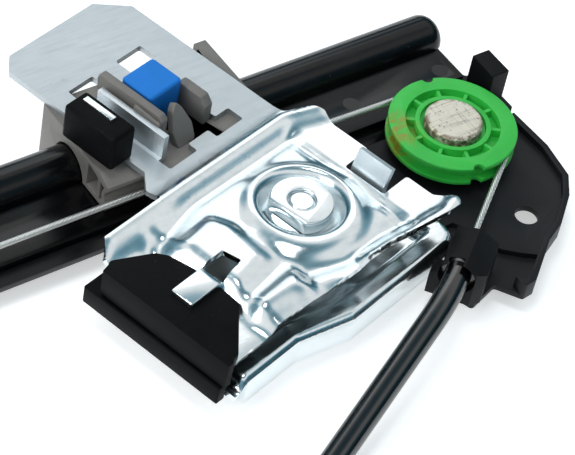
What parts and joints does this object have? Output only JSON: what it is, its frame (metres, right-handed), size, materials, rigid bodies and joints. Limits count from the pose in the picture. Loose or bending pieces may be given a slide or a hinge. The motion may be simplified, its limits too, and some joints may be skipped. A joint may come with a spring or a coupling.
{
  "type": "window regulator",
  "caption": "Single-rail cable window regulator: guide rail, deflection pulleys, slider with glass clamp, sheathed cables and a cable drum housing.",
  "frame": {"origin": "centre of the lower head plate's fixing hole, at the plate's top face", "axes": "+X along the guide rail towards the lower pulley, so the glass rises towards -X; +Z out of the head plates, towards the pulleys"},
  "size_m": [0.5052, 0.2288, 0.0285],
  "materials": {
    "rail_paint": "satin black enamel",
    "plate_paint": "satin black electrocoat",
    "rivet_steel": "bare machined steel, scratched",
    "green_plastic": "moulded acetal",
    "black_plastic": "moulded glass-filled nylon",
    "sheath_plastic": "smooth extruded jacket",
    "cable_steel": "stranded steel, greased",
    "grey_plastic": "moulded acetal",
    "zinc_steel": "bright zinc plate",
    "pad_rubber": "moulded rubber",
    "blue_plastic": "moulded polypropylene",
    "drum_plastic": "moulded acetal",
    "spring_steel": "drawn spring wire"
  },
  "bodies": {
    "frame": {"guide_rail": "rail_paint", "upper_stop": "rail_paint", "lower_head_plate": "plate_paint", "upper_head_plate": "plate_paint", "rail_rivets": "rivet_steel", "lower_pulley_rivet": "rivet_steel", "upper_pulley_rivet": "rivet_steel", "lower_locating_block": "black_plastic", "upper_locating_block": "black_plastic", "lower_cable_holder": "black_plastic", "upper_cable_holder": "black_plastic", "drum_housing": "black_plastic", "drum_cover": "black_plastic", "lower_spring_collar": "black_plastic", "upper_spring_collar": "black_plastic", "lower_sheath": "sheath_plastic", "upper_sheath": "sheath_plastic", "lower_ferrule": "sheath_plastic", "upper_ferrule": "sheath_plastic", "lower_cable": "cable_steel", "upper_cable": "cable_steel", "cover_screws": "zinc_steel", "lower_tension_spring": "spring_steel", "upper_tension_spring": "spring_steel"},
    "carriage": {"slider_body": "grey_plastic", "lift_plate": "zinc_steel", "upper_glass_pad": "pad_rubber", "jaw_nut": "zinc_steel", "stop_buffer": "pad_rubber", "cable_nipples": "cable_steel"},
    "lower_pulley": {"lower_pulley": "green_plastic"},
    "upper_pulley": {"upper_pulley": "green_plastic"},
    "cable_drum": {"cable_drum": "drum_plastic"},
    "lower_jaw": {"lower_jaw": "zinc_steel", "lower_glass_pad": "pad_rubber"},
    "clamp_washer": {"clamp_washer": "zinc_steel"},
    "clamp_bolt": {"clamp_bolt": "zinc_steel"},
    "lock_wedge": {"lock_wedge": "blue_plastic"}
  },
  "joints": [
    {"name": "glass_lift", "type": "slide", "parent": "frame", "child": "carriage", "axis": [-1, 0, 0], "range_m": [0, 0.33]},
    {"name": "lower_pulley_turn", "type": "hinge", "parent": "frame", "child": "lower_pulley", "pos_m": [-0.0037, 0.0257, 0.0055], "axis": [0, 0, 1], "range_deg": [0, 1460]},
    {"name": "upper_pulley_turn", "type": "hinge", "parent": "frame", "child": "upper_pulley", "pos_m": [-0.4637, 0.0257, 0.0055], "axis": [0, 0, 1], "range_deg": [0, 1460]},
    {"name": "drum_turn", "type": "hinge", "parent": "frame", "child": "cable_drum", "pos_m": [-0.2337, -0.1023, 0.0055], "axis": [0, 0, 1], "range_deg": [0, 932]},
    {"name": "jaw_open", "type": "hinge", "parent": "carriage", "child": "lower_jaw", "pos_m": [-0.0355, 0.02188, 0.01125], "axis": [0.2571, -0.9664, 0], "range_deg": [0, 4]},
    {"name": "bolt_drop", "type": "slide", "parent": "carriage", "child": "clamp_washer", "axis": [0, 0, -1], "range_m": [0, 0.0013]},
    {"name": "bolt_turn", "type": "hinge", "parent": "clamp_washer", "child": "clamp_bolt", "pos_m": [-0.0527, 0.0173, 0], "axis": [0, 0, -1], "range_deg": [0, 452]},
    {"name": "wedge_pull", "type": "slide", "parent": "carriage", "child": "lock_wedge", "axis": [0, 0, 1], "range_m": [0, 0.005]}
  ],
  "couplings": [
    {"joint": "lower_pulley_turn", "follows": "glass_lift", "rad_per_m": 72.464},
    {"joint": "upper_pulley_turn", "follows": "glass_lift", "rad_per_m": 72.464},
    {"joint": "drum_turn", "follows": "glass_lift", "rad_per_m": 47.619},
    {"joint": "bolt_drop", "follows": "jaw_open", "m_per_rad": 0.0178},
    {"joint": "bolt_turn", "follows": "jaw_open", "ratio": 111.84}
  ]
}
